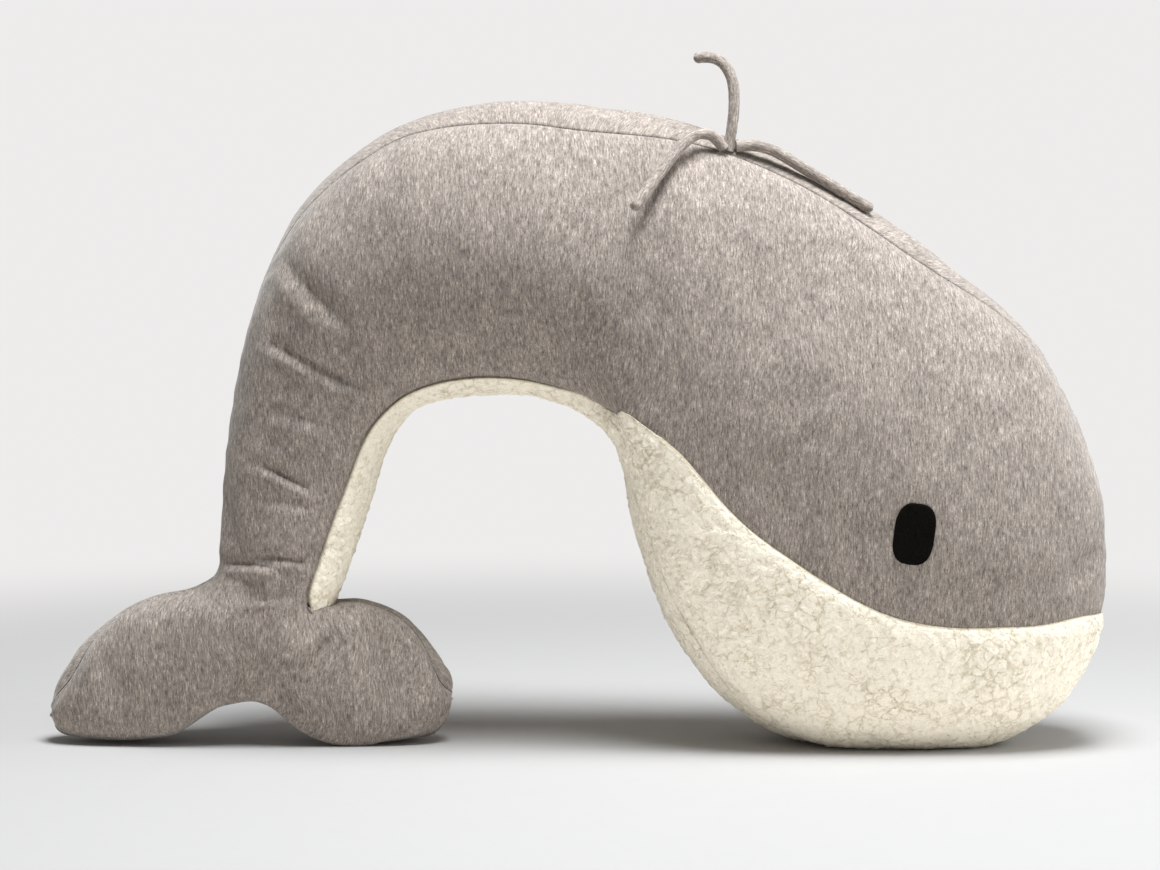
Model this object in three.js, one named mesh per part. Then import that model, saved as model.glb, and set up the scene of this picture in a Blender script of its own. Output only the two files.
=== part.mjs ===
// Whale nursing pillow: two jersey sides and two sherpa belly panels sewn over fibre stuffing,
// with felt eyes and a spout of three cords. Millimetres, +Z up, nose towards +X, show side towards -Y.

import * as THREE from 'three';

// Overall sizes of the sewn outline
const pillowLength = 719; // tip of the left fluke lobe to the nose
const pillowHeight = 434; // floor to the top of the back

// Depths from front to back once stuffed
const headDepth = 172;
const backDepth = 160;
const armDepth = 112;
const stemDepth = 86;
const lobeDepth = 80;
const sideFullness = 0.8; // power of the section's side: 1 is an ellipse, less is fuller
const flukeRoll = 22; // degrees that the fluke's upper seams roll to the front

// Fabric, thread and felt
const jerseyThickness = 1.5;
const pileHeight = 3; // sherpa pile that stands proud of the jersey
const threadDiameter = 0.9;
const clearance = 0.3; // between pieces that touch
const stuffingGap = 0.5; // between the stuffing and the fabric

// Felt eyes
const eyeWidth = 27;
const eyeHeight = 41;
const eyeThickness = 1.2;
const eyeTilt = 8; // degrees, the top leaning to the nose
const eyePlace = [222, 151]; // x and z on the drawn outline
const eyeRoundness = 2.9; // power of the outline: 2 is an ellipse, more is squarer

// Where the stuffing divides, counted in stations
const headEndStation = 8;
const backEndStation = 11;
const flexStation = 12.6; // where the tail bends

// Spout cords
const cordDiameter = 7.5;
const cordSides = 10;
const cordSteps = 28;

// Counts of the fabric's facets
const rowsPerStation = 3;
const jerseyColumns = 9;
const bellyColumns = 5;
const flukeRows = 8;
const threadSides = 5;
const eyeSegments = 28;

// Sections from the nose to the stem. Each has its outer and inner ends on the drawn outline (x, z), its
// depth, the height of its belly band along the section, and how far the top and keel seams roll to the
// front, in degrees. The outline runs below the floor where standing presses the pillow flat.
const stations = [
  { top: [359, 88], keel: [359, 88], depth: 0, band: 0, roll: 0, keelRoll: 0 },
  { top: [359.5, 125], keel: [354, 61], depth: 0.29 * headDepth, band: 29, roll: 0, keelRoll: 0 },
  { top: [351, 192], keel: [329, 28], depth: 0.62 * headDepth, band: 62, roll: 2, keelRoll: 0 },
  { top: [309, 276], keel: [268, -3], depth: 0.9 * headDepth, band: 88.5, roll: 10, keelRoll: 0 },
  { top: [236, 336], keel: [193, -7], depth: headDepth, band: 101, roll: 19, keelRoll: 4 },
  { top: [151, 390], keel: [118, 21], depth: headDepth, band: 118, roll: 18, keelRoll: 14 },
  { top: [80, 418], keel: [71, 77], depth: 0.98 * headDepth, band: 115, roll: 20, keelRoll: 25 },
  { top: [12, 431], keel: [46, 146], depth: 1.02 * backDepth, band: 80, roll: 27, keelRoll: 26 },
  { top: [-37, 434], keel: [28.5, 211], depth: backDepth, band: 18, roll: 28, keelRoll: 10 },
  { top: [-85, 428.5], keel: [-17, 237], depth: backDepth, band: 8, roll: 25, keelRoll: 0 },
  { top: [-126, 413], keel: [-62, 240], depth: 0.97 * backDepth, band: 10, roll: 19, keelRoll: 0 },
  { top: [-186, 362], keel: [-107, 231], depth: 1.2 * armDepth, band: 8, roll: 13, keelRoll: 0 },
  { top: [-217, 300], keel: [-127, 207], depth: armDepth, band: 11, roll: 6, keelRoll: 0 },
  { top: [-234, 222], keel: [-141, 166], depth: 1.13 * stemDepth, band: 13, roll: 0, keelRoll: 0 },
  { top: [-241, 145], keel: [-153, 129], depth: 1.02 * stemDepth, band: 14, roll: 0, keelRoll: 0 },
  { top: [-243, 109.5], keel: [-166, 95], depth: stemDepth, band: 12, roll: 0, keelRoll: 0 },
];

// Fluke on the drawn outline, from each notch at the stem to the lobe's tip, and along the lower edge
const leftLobeUpper = [[-243, 109.5], [-281, 101], [-312, 88], [-337, 66], [-352, 42], [-360, 18]];
const leftLobeLower = [[-360, 18], [-350, 4], [-322, -5], [-288, -2], [-258, 14], [-224, 33]];
const rightLobeLower = [[-224, 33], [-207, 24], [-183, 6], [-150, -5], [-117, -5], [-91, 7], [-80, 29]];
const rightLobeUpper = [[-166, 95], [-145, 97], [-116, 86], [-94, 64], [-82, 44], [-80, 29]];

// Spout cords, as steps from the place where each leaves the seam (x, y, z)
const leftCordRoute = [
  [0, 0, 0], [-1.8, -0.7, 2.3], [-3.9, -1.5, 4.3], [-6.2, -2.6, 5.9], [-8.7, -3.9, 7],
  [-11.2, -5.3, 7.4], [-14.7, -7.4, 7.2], [-18.7, -10, 5.8], [-23, -13.1, 3], [-27.4, -16.6, -1.1],
  [-31.9, -20.5, -6.4], [-36.7, -25.1, -12.5], [-41.9, -30.3, -19.2], [-47.5, -36.2, -26.7],
  [-53.6, -42.6, -34.8], [-59.5, -48.6, -42.5],
];
const middleCordRoute = [
  [0, 0, 0], [0.9, 0.2, 5.2], [1.8, 0.4, 10.4], [2.6, 0.8, 15.6], [3.2, 1.3, 20.9],
  [3.6, 1.9, 26.1], [3.7, 2.6, 31.4], [3.5, 3.4, 36.6], [2.9, 4.4, 41.8], [1.6, 5.5, 46.7],
  [-0.4, 7, 51.3], [-3.3, 8.7, 55.2], [-7.1, 10.6, 58], [-11.5, 12.5, 59.5], [-17, 14.7, 59.8],
  [-22.8, 16.8, 58.9],
];
const rightCordRoute = [
  [0, 0, 0], [6.7, 0.6, 0.4], [13.3, 1.2, -0.3], [19.7, 1.8, -2.2], [25.8, 2.4, -5],
  [31.5, 3.1, -8.3], [37.3, 3.6, -11.7], [43, 4.1, -15.1], [48.8, 4.6, -18.6], [54.5, 5, -22],
  [60.2, 5.4, -25.5], [66, 5.8, -28.9], [71.7, 6.2, -32.4], [77.5, 6.5, -35.8], [83.2, 6.9, -39.2],
  [89, 7.2, -42.6],
];

// Where each cord leaves the skin, by the station along the top seam and the degrees that it sits to the
// front, and how far its end's middle lies off the skin
const cordRoots = {
  left: { station: 5.76, roll: 19, rise: 2.8 },
  middle: { station: 5.68, roll: 16, rise: 0.6 },
  right: { station: 5.58, roll: 15, rise: 3.2 },
};

const materials = {
  jersey: new THREE.MeshStandardMaterial({ color: 0x9d9793, roughness: 0.95, metalness: 0 }),
  sherpa: new THREE.MeshStandardMaterial({ color: 0xe8e0cd, roughness: 1, metalness: 0 }),
  felt: new THREE.MeshStandardMaterial({ color: 0x0b0b0b, roughness: 0.9, metalness: 0 }),
  fibre: new THREE.MeshStandardMaterial({ color: 0xf4f2ec, roughness: 1, metalness: 0 }),
  thread: new THREE.MeshStandardMaterial({ color: 0x8a8480, roughness: 0.8, metalness: 0 }),
};

const front = -1;
const back = 1;
const both = { name: 'both', before: true, after: true };
const bodySide = { name: 'body', before: true, after: false };
const flukeSide = { name: 'fluke', before: false, after: true };
const lastStation = stations.length - 1;
const bodyRows = lastStation * rowsPerStation;
const lastRow = bodyRows + flukeRows;
const columns = jerseyColumns + bellyColumns;
const bellyTipRow = 1; // row on which the belly panels begin, just behind the nose's point
const noseCrowding = 1.3; // how much closer the rows lie towards the nose
const halfSeam = threadDiameter / 2 + clearance; // how far a panel's edge stays from the seam's middle
const stuffingInset = jerseyThickness + stuffingGap;
const foldRoom = halfSeam + 1.5 * jerseyThickness; // left by the fluke's stuffing for the fold at the stem
const edgeFullness = sideFullness / 2; // power of the fluke's lower edge, blunter than the section's side
const eyeParing = 0.96; // share of the felt's outline that is left on its face
const eyeWall = 0.6; // share of the felt's thickness below the pared edge
const eyeRings = [0.5, 0.05]; // shares of the felt's outline at which its faces are divided
const rollGathering = 4; // power that keeps the roll of the fluke's seams near the middle of each lobe
const smallStep = 1e-4;
const nearPoint = 0.02; // share of the skin from which a closing point takes its facing
const wellInside = 10 * nearPoint;
const besidePoint = 0.9; // share of the half turn that lies beside a lobe's tip
const leastNormal = 0.01; // below this the skin closes to a point
const searchStart = 0.2; // share of the skin at which the search for a place begins
const searchPasses = 30;
const mergeDistance = 1e-3;
const sharpestMitre = 0.6;
const degrees = THREE.MathUtils.degToRad;

// The drawn outline is graded to the length and height above
const drawnPoints = [...stations.map((station) => station.top), ...leftLobeUpper];
const drawnX = drawnPoints.map((point) => point[0]);
const drawnZ = drawnPoints.map((point) => point[1]);
const gradeX = pillowLength / (Math.max(...drawnX) - Math.min(...drawnX));
const gradeZ = pillowHeight / Math.max(...drawnZ);

function graded([x, z]) {
  return new THREE.Vector3(x * gradeX, 0, z * gradeZ);
}

function outlineCurve(points) {
  return new THREE.CatmullRomCurve3(points.map(graded));
}

const topLine = outlineCurve(stations.map((station) => station.top));
const keelLine = outlineCurve(stations.map((station) => station.keel));
const sectionSizes = new THREE.CatmullRomCurve3(
  stations.map((station) => new THREE.Vector3(station.depth / 2, station.band, 0)),
);
const seamRolls = new THREE.CatmullRomCurve3(
  stations.map((station) => new THREE.Vector3(degrees(station.roll), degrees(station.keelRoll), 0)),
);
const lobeEdges = {
  left: outlineCurve(leftLobeUpper),
  right: outlineCurve(rightLobeUpper),
  lowerLeft: outlineCurve(leftLobeLower),
  lowerRight: outlineCurve(rightLobeLower),
};

// How far the section stands out at an angle from its outer end, signed so that it runs on round the back
function swell(angle) {
  const rise = Math.sin(angle);
  return Math.sign(rise) * Math.abs(rise) ** sideFullness;
}

function bodySkin(share, angle, side) {
  const top = topLine.getPoint(share);
  const keel = keelLine.getPoint(share);
  const depth = sectionSizes.getPoint(share).x;
  const point = top.lerp(keel, (1 - Math.cos(angle)) / 2);
  point.y = side * depth * swell(angle);
  return point;
}

function lowerEdge(across) {
  if (across < 0.5) return lobeEdges.lowerLeft.getPoint(2 * across);
  return lobeEdges.lowerRight.getPoint(2 * across - 1);
}

// The fluke is a patch between the stem's end, the upper lobe edges and the lower edge, and swells out
function flukeSkin(turn, angle, side) {
  const down = Math.sin((turn * Math.PI) / 2);
  const thin = Math.cos((turn * Math.PI) / 2);
  const across = (1 - Math.cos(angle)) / 2;
  const left = lobeEdges.left;
  const right = lobeEdges.right;
  const stem = left.getPoint(0).lerp(right.getPoint(0), across);
  const between = stem.clone().lerp(lowerEdge(across), down);
  const sides = left.getPoint(down).lerp(right.getPoint(down), across);
  const corners = stem.clone().lerp(left.getPoint(1).lerp(right.getPoint(1), across), down);
  const point = between.add(sides).sub(corners);
  const depth = THREE.MathUtils.lerp(stemDepth, lobeDepth, down) / 2;
  point.y = side * depth * swell(angle) * Math.sign(thin) * Math.abs(thin) ** edgeFullness;
  return point;
}

// The whole skin: 0 to 1 runs from the nose to the stem's end, and 1 to 2 from there to the lower edge
function skin(along, angle, side) {
  if (along <= 1) return bodySkin(Math.max(along, 0), angle, side);
  return flukeSkin(along - 1, angle, side);
}

function direction(from, to) {
  return to.clone().sub(from).normalize();
}

// At the nose and at the lobes' tips the skin closes to a point, which faces square to the outline there
function pointNormal(along, angle, side) {
  const here = skin(along, angle, side);
  const isNose = along <= 1;
  const inner = Math.PI / 2 + besidePoint * (angle - Math.PI / 2);
  const above = isNose ? skin(nearPoint, 0, side) : skin(along - nearPoint, angle, side);
  const below = isNose ? skin(nearPoint, Math.PI, side) : skin(along, inner, side);
  const behind = isNose ? skin(wellInside, Math.PI / 2, side) : skin(along - wellInside, inner, side);
  const edge = above.sub(below);
  const normal = new THREE.Vector3(edge.z, 0, -edge.x).normalize();
  const outward = normal.dot(here.sub(behind).setY(0));
  return normal.multiplyScalar(Math.sign(outward));
}

// The skin's normal, taken from what lies before and after a place, or from one of them at a fold
function skinNormal(along, angle, side, reach = both) {
  const here = skin(along, angle, side);
  const before = skin(along - smallStep, angle, side);
  const after = skin(along + smallStep, angle, side);
  const above = skin(along, angle - smallStep, side);
  const below = skin(along, angle + smallStep, side);
  const run = new THREE.Vector3();
  if (reach.before) run.add(direction(before, here));
  if (reach.after) run.add(direction(here, after));
  const fall = direction(above, here).add(direction(here, below));
  const normal = run.cross(fall).multiplyScalar(-side);
  if (along > 0 && normal.length() > leastNormal) return normal.normalize();
  return pointNormal(along, angle, side);
}

function rowShare(row) {
  return row <= bodyRows ? (row / bodyRows) ** noseCrowding : 1 + (row - bodyRows) / flukeRows;
}

function rowAtStation(station) {
  return Math.round(bodyRows * (station / lastStation) ** (1 / noseCrowding));
}

function seamAngles(row, side) {
  const share = Math.min(rowShare(row), 1);
  const rolls = seamRolls.getPoint(share);
  const top = -side * rolls.x;
  const keel = Math.PI + side * rolls.y;
  const bandShare = Math.max(share, rowShare(bellyTipRow));
  const length = topLine.getPoint(bandShare).distanceTo(keelLine.getPoint(bandShare));
  const band = sectionSizes.getPoint(bandShare).y;
  const belly = Math.acos((2 * band) / length - 1);
  return { top, belly, keel };
}

// Angle of one column of the grid: jersey columns run from the top seam to the belly seam, and belly
// columns from there to the keel. On the fluke they spread evenly between its seams
function columnAngle(row, column, side) {
  const { top, belly, keel } = seamAngles(row, side);
  const turn = Math.max(rowShare(row) - 1, 0);
  const rolled = -side * degrees(flukeRoll) * Math.sin(Math.PI * turn) ** rollGathering;
  const even = THREE.MathUtils.lerp(rolled, Math.PI - rolled, column / columns);
  const sewn = column <= jerseyColumns
    ? THREE.MathUtils.lerp(top, belly, column / jerseyColumns)
    : THREE.MathUtils.lerp(belly, keel, (column - jerseyColumns) / bellyColumns);
  const spread = THREE.MathUtils.smoothstep(row, bodyRows, bodyRows + flukeRows / 2);
  return THREE.MathUtils.lerp(sewn, even, spread);
}

const gridStore = new Map();

// A place on the grid of the skin, with its normal. Where the stem folds into the fluke, a piece that ends
// there takes its normal from its own side of the fold
function knot(row, column, side, reach = both) {
  const facing = row === bodyRows ? reach : both;
  const key = `${row},${column},${side},${facing.name}`;
  if (!gridStore.has(key)) {
    const along = rowShare(row);
    const angle = columnAngle(row, column, side);
    const point = skin(along, angle, side);
    gridStore.set(key, { row, column, point, normal: skinNormal(along, angle, side, facing) });
  }
  return gridStore.get(key);
}

// A place lifted off the skin, and pressed flat where the pillow stands
function layer({ point, normal }, lift, least) {
  const lifted = point.clone().addScaledVector(normal, lift);
  lifted.z = Math.max(lifted.z, least);
  return lifted;
}

// Cells of the grid, as rings of four knots
function gridCells(firstRow, endRow, firstColumn, endColumn) {
  const cells = [];
  for (let row = firstRow; row < endRow; row += 1) {
    for (let column = firstColumn; column < endColumn; column += 1) {
      cells.push([[row, column], [row + 1, column], [row + 1, column + 1], [row, column + 1]]);
    }
  }
  return cells;
}

// Numbers the knots of some cells, with those that fall together as one, and cuts the cells into triangles
// that face outwards
function cutPattern(cells, side, reachAt) {
  const knots = [];
  const numbers = new Map();
  const numberOf = ([row, column]) => {
    const place = knot(row, column, side, reachAt(column));
    const key = place.point.toArray().map((value) => Math.round(value / mergeDistance)).join();
    if (!numbers.has(key)) {
      numbers.set(key, knots.length);
      knots.push(place);
    }
    return numbers.get(key);
  };
  const area = (i, j, k) => new THREE.Triangle(knots[i].point, knots[j].point, knots[k].point).getArea();
  const triangles = [];
  for (const cell of cells) {
    const ring = cell.map(numberOf).filter((number, index, all) => all.indexOf(number) === index);
    if (side === back) ring.reverse();
    if (ring.length === 3) triangles.push(ring);
    if (ring.length < 4) continue;
    const [a, b, c, d] = ring;
    const firstCut = Math.min(area(a, b, c), area(a, c, d));
    const otherCut = Math.min(area(a, b, d), area(b, c, d));
    if (firstCut >= otherCut) triangles.push([a, b, c], [a, c, d]);
    else triangles.push([a, b, d], [b, c, d]);
  }
  return { knots, triangles, rim: rimEdges(triangles) };
}

function rimEdges(triangles) {
  const edges = new Map();
  for (const triangle of triangles) {
    triangle.forEach((from, index) => {
      const to = triangle[(index + 1) % 3];
      edges.set(`${from},${to}`, [from, to]);
    });
  }
  return [...edges.values()].filter(([from, to]) => !edges.has(`${to},${from}`));
}

// How far each knot of a panel's rim draws back from the seam, in the fabric. Pile stops short of the fluke
function rimPulls(knots, rim, proud) {
  const next = new Map(rim);
  const previous = new Map(rim.map(([from, to]) => [to, from]));
  const pulls = new Map();
  for (const [number] of rim) {
    const { row, point, normal } = knots[number];
    const arrive = direction(knots[previous.get(number)].point, point);
    const leave = direction(point, knots[next.get(number)].point);
    const inward = normal.clone().cross(arrive.clone().add(leave)).normalize();
    const mitre = Math.max(Math.sqrt((1 + arrive.dot(leave)) / 2), sharpestMitre);
    const seam = row === bodyRows ? halfSeam + proud : halfSeam;
    pulls.set(number, inward.multiplyScalar(seam / mitre));
  }
  return pulls;
}

function facetGeometry(facets) {
  const solid = facets.filter(([a, b, c]) => new THREE.Triangle(a, b, c).getArea() > 0);
  const positions = solid.flatMap((facet) => facet.flatMap((point) => point.toArray()));
  const geometry = new THREE.BufferGeometry();
  geometry.setAttribute('position', new THREE.Float32BufferAttribute(positions, 3));
  geometry.computeVertexNormals();
  return geometry;
}

// Walls along a rim, between an upper and a lower sheet of points
function rimWalls(upper, lower, rim) {
  return rim.flatMap(([from, to]) => [
    [upper[to], upper[from], lower[from]],
    [upper[to], lower[from], lower[to]],
  ]);
}

// A fabric panel: its outer face stands proud of the skin, and its rim draws back from the seams
function fabricPanel(cells, side, proud, reachAt) {
  const { knots, triangles, rim } = cutPattern(cells, side, reachAt);
  const pulls = rimPulls(knots, rim, proud);
  const sewn = knots.map(({ point, normal }, number) => {
    const pull = pulls.get(number) ?? new THREE.Vector3();
    return { point: point.clone().add(pull), normal };
  });
  const outer = sewn.map((place) => layer(place, proud, 0));
  const inner = sewn.map((place) => layer(place, -jerseyThickness, proud + jerseyThickness));
  return facetGeometry([
    ...triangles.map(([a, b, c]) => [outer[a], outer[b], outer[c]]),
    ...triangles.map(([a, b, c]) => [inner[c], inner[b], inner[a]]),
    ...rimWalls(outer, inner, rim),
  ]);
}

function jerseySide(side) {
  const noseCells = gridCells(0, bellyTipRow, jerseyColumns, columns);
  const bodyCells = gridCells(0, bodyRows, 0, jerseyColumns);
  const flukeCells = gridCells(bodyRows, lastRow, 0, columns);
  const reachAt = (column) => (column > jerseyColumns ? flukeSide : both);
  return fabricPanel([...noseCells, ...bodyCells, ...flukeCells], side, 0, reachAt);
}

function bellyPanel(side) {
  const cells = gridCells(bellyTipRow, bodyRows, jerseyColumns, columns);
  return fabricPanel(cells, side, pileHeight, () => bodySide);
}

// Fibre packed between the two sides, clear of the fabric and of its neighbours at its cut ends
function stuffing(firstRow, endRow, firstColumn = 0, endColumn = columns) {
  const cells = gridCells(firstRow, endRow, firstColumn, endColumn);
  const ownSide = firstRow < bodyRows ? bodySide : flukeSide;
  const reachAt = (column) => (column > jerseyColumns ? ownSide : both);
  const least = stuffingInset + (firstRow < bodyRows ? pileHeight : 0);
  const packed = (place, side) => {
    const { row, column, point } = place;
    const inside = layer(place, -stuffingInset, least);
    const drawBack = (rowInside, columnInside, distance) => {
      inside.addScaledVector(direction(point, knot(rowInside, columnInside, side).point), distance);
    };
    if (row === firstRow && row > 0) drawBack(row + 1, column, row === bodyRows ? foldRoom : clearance / 2);
    if (row === endRow && row < lastRow) drawBack(row - 1, column, clearance / 2);
    if (column === firstColumn && column > 0) drawBack(row, column + 1, clearance / 2);
    if (column === endColumn && column < columns) drawBack(row, column - 1, clearance / 2);
    return inside;
  };
  const sheets = [front, back].map((side) => {
    const { knots, triangles, rim } = cutPattern(cells, side, reachAt);
    const points = knots.map((place) => packed(place, side));
    return { points, rim, facets: triangles.map((triangle) => triangle.map((number) => points[number])) };
  });
  const [frontSheet, backSheet] = sheets;
  const walls = rimWalls(frontSheet.points, backSheet.points, frontSheet.rim);
  return facetGeometry([...frontSheet.facets, ...backSheet.facets, ...walls]);
}

// A thread that lies in the seam between two panels, swept from knot to knot
function seamThread(places) {
  const centres = places.map((place) => {
    const pile = place.row < bodyRows ? pileHeight : 0;
    return layer(place, -jerseyThickness / 2, pile + jerseyThickness / 2);
  });
  const rings = centres.map((centre, index) => {
    const before = centres[Math.max(index - 1, 0)];
    const after = centres[Math.min(index + 1, centres.length - 1)];
    const tangent = direction(before, after);
    const sideways = tangent.clone().cross(places[index].normal).normalize();
    const outward = sideways.clone().cross(tangent);
    return Array.from({ length: threadSides }, (_, corner) => {
      const angle = (2 * Math.PI * corner) / threadSides;
      return centre.clone()
        .addScaledVector(outward, (threadDiameter / 2) * Math.cos(angle))
        .addScaledVector(sideways, (threadDiameter / 2) * Math.sin(angle));
    });
  });
  return ringedSolid(rings);
}

// A closed solid through a row of rings that have the same count of points
function ringedSolid(rings) {
  const facets = [];
  const count = rings[0].length;
  for (let index = 1; index < rings.length; index += 1) {
    const [near, far] = [rings[index - 1], rings[index]];
    for (let corner = 0; corner < count; corner += 1) {
      const after = (corner + 1) % count;
      facets.push([near[corner], near[after], far[after]], [near[corner], far[after], far[corner]]);
    }
  }
  const [first, last] = [rings[0], rings[rings.length - 1]];
  for (let corner = 2; corner < count; corner += 1) {
    facets.push([first[0], first[corner], first[corner - 1]], [last[0], last[corner - 1], last[corner]]);
  }
  return facetGeometry(facets);
}

function rowRun(fromRow, toRow, column, side) {
  const step = Math.sign(toRow - fromRow);
  const count = Math.abs(toRow - fromRow) + 1;
  return Array.from({ length: count }, (_, index) => knot(fromRow + step * index, column, side));
}

function columnRun(fromColumn, toColumn, row, side) {
  const count = toColumn - fromColumn + 1;
  return Array.from({ length: count }, (_, index) => knot(row, fromColumn + index, side));
}

// From the belly's point up over the nose, along the back, round the fluke and up to its inner notch
function topSeamThread() {
  return seamThread([
    ...rowRun(bellyTipRow, 1, columns, front),
    ...rowRun(0, lastRow, 0, front),
    ...columnRun(1, columns, lastRow, front),
    ...rowRun(lastRow - 1, bodyRows, columns, front),
  ]);
}

function keelSeamThread() {
  return seamThread(rowRun(bellyTipRow + 1, bodyRows - 1, columns, front));
}

// Along the belly's edge and across the end of its strip at the fluke
function bellySeamThread(side) {
  return seamThread([
    ...rowRun(bellyTipRow + 1, bodyRows, jerseyColumns, side),
    ...columnRun(jerseyColumns + 1, columns - 1, bodyRows, side),
  ]);
}

// The place on the skin that is seen at a drawn x and z from the side
function placeFacing(x, z, side) {
  let along = searchStart;
  let angle = Math.PI / 2;
  for (let pass = 0; pass < searchPasses; pass += 1) {
    const here = skin(along, angle, side);
    const run = skin(along + smallStep, angle, side).sub(here);
    const fall = skin(along, angle + smallStep, side).sub(here);
    const determinant = run.x * fall.z - run.z * fall.x;
    const missX = x - here.x;
    const missZ = z - here.z;
    along += (smallStep * (missX * fall.z - missZ * fall.x)) / determinant;
    angle += (smallStep * (run.x * missZ - run.z * missX)) / determinant;
  }
  return { point: skin(along, angle, side), normal: skinNormal(along, angle, side) };
}

// A felt oval that follows the side of the head, with its edge pared
function eyePatch(side) {
  const centre = graded(eyePlace);
  const tilt = degrees(eyeTilt);
  const edgePlace = (turn, share) => {
    const power = 2 / eyeRoundness;
    const across = (eyeWidth / 2) * share * Math.sign(Math.cos(turn)) * Math.abs(Math.cos(turn)) ** power;
    const up = (eyeHeight / 2) * share * Math.sign(Math.sin(turn)) * Math.abs(Math.sin(turn)) ** power;
    const x = centre.x + across * Math.cos(tilt) + up * Math.sin(tilt);
    const z = centre.z - across * Math.sin(tilt) + up * Math.cos(tilt);
    return placeFacing(x, z, side);
  };
  const ring = (share, lift) => Array.from({ length: eyeSegments }, (_, index) => {
    const turn = (-side * 2 * Math.PI * index) / eyeSegments;
    return layer(edgePlace(turn, share), lift, 0);
  });
  const base = clearance;
  const top = clearance + eyeThickness;
  const under = eyeRings.map((share) => ring(share, base)).reverse();
  const over = eyeRings.map((share) => ring(share, top));
  const edge = [ring(1, base), ring(1, base + eyeWall * eyeThickness), ring(eyeParing, top)];
  return ringedSolid([...under, ...edge, ...over]);
}

// A cord from its root on the top seam along its route
function spoutCord({ station, roll, rise }, route) {
  const share = station / lastStation;
  const foot = skin(share, degrees(roll), front);
  foot.addScaledVector(skinNormal(share, degrees(roll), front), rise);
  const points = route.map((step) => foot.clone().add(new THREE.Vector3(...step)));
  const outline = new THREE.Shape().absarc(0, 0, cordDiameter / 2, 0, 2 * Math.PI);
  return new THREE.ExtrudeGeometry(outline, {
    steps: cordSteps,
    curveSegments: cordSides / 2,
    extrudePath: new THREE.CatmullRomCurve3(points),
  });
}

const whale = new THREE.Group();
whale.name = 'whale_nursing_pillow';

function addPiece(name, geometry, material) {
  const mesh = new THREE.Mesh(geometry, material);
  mesh.name = name;
  whale.add(mesh);
}

addPiece('front_side_panel', jerseySide(front), materials.jersey);
addPiece('back_side_panel', jerseySide(back), materials.jersey);
addPiece('front_belly_panel', bellyPanel(front), materials.sherpa);
addPiece('back_belly_panel', bellyPanel(back), materials.sherpa);

addPiece('top_seam_thread', topSeamThread(), materials.thread);
addPiece('keel_seam_thread', keelSeamThread(), materials.thread);
addPiece('front_belly_seam_thread', bellySeamThread(front), materials.thread);
addPiece('back_belly_seam_thread', bellySeamThread(back), materials.thread);

addPiece('front_eye_patch', eyePatch(front), materials.felt);
addPiece('back_eye_patch', eyePatch(back), materials.felt);

addPiece('spout_cord_left', spoutCord(cordRoots.left, leftCordRoute), materials.jersey);
addPiece('spout_cord_middle', spoutCord(cordRoots.middle, middleCordRoute), materials.jersey);
addPiece('spout_cord_right', spoutCord(cordRoots.right, rightCordRoute), materials.jersey);

const [headRow, backRow, flexRow] = [headEndStation, backEndStation, flexStation].map(rowAtStation);
const flukeMiddle = columns / 2;
addPiece('fill_head', stuffing(0, headRow), materials.fibre);
addPiece('fill_back', stuffing(headRow, backRow), materials.fibre);
addPiece('fill_shoulder', stuffing(backRow, flexRow), materials.fibre);
addPiece('fill_tail', stuffing(flexRow, bodyRows), materials.fibre);
addPiece('fill_fluke_left', stuffing(bodyRows, lastRow, 0, flukeMiddle), materials.fibre);
addPiece('fill_fluke_right', stuffing(bodyRows, lastRow, flukeMiddle, columns), materials.fibre);

export default whale;
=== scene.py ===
"""Whale nursing pillow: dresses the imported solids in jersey, sherpa, felt and cord."""

import math

import bmesh
import bpy
import numpy as np
from bpy.props import FloatProperty, FloatVectorProperty, IntProperty, PointerProperty
from mathutils import Matrix, Vector, noise
from mathutils.bvhtree import BVHTree
from mathutils.kdtree import KDTree


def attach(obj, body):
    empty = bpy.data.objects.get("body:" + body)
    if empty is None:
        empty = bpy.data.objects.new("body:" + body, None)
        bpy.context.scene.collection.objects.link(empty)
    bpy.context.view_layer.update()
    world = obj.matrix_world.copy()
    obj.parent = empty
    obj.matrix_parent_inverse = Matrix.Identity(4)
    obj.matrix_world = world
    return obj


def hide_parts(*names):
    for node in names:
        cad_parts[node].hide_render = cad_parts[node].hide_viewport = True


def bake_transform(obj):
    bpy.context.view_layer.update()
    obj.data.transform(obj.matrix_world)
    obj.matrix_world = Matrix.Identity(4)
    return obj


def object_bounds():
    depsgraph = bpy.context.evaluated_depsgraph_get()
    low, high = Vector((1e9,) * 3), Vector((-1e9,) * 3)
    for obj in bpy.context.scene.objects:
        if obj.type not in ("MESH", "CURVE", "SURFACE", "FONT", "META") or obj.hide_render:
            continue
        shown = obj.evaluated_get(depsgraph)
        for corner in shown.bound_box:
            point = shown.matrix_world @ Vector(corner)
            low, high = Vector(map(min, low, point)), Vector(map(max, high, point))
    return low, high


bl_info = {
    "name": "Whale nursing pillow",
    "version": (1, 0, 0),
    "blender": (4, 5, 0),
    "location": "3D View > Sidebar > Whale",
    "description": "Dresses the packed pillow in jersey, sherpa, felt and cord",
    "category": "Object",
}

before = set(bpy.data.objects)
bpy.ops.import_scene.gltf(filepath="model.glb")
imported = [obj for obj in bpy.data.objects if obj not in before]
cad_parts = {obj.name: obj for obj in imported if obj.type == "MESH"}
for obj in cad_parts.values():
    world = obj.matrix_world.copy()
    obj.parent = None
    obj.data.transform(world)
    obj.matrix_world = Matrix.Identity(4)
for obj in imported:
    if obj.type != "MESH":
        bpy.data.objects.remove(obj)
CAD_BOX = [list(corner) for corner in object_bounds()]
FLOOR = CAD_BOX[0][2]

# Where the seams meet at the nose, and how far round it the pile leans less
NOSE_CORNER = (0.360, 0.0, 0.088)
NOSE_REACH = 0.025

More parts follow.
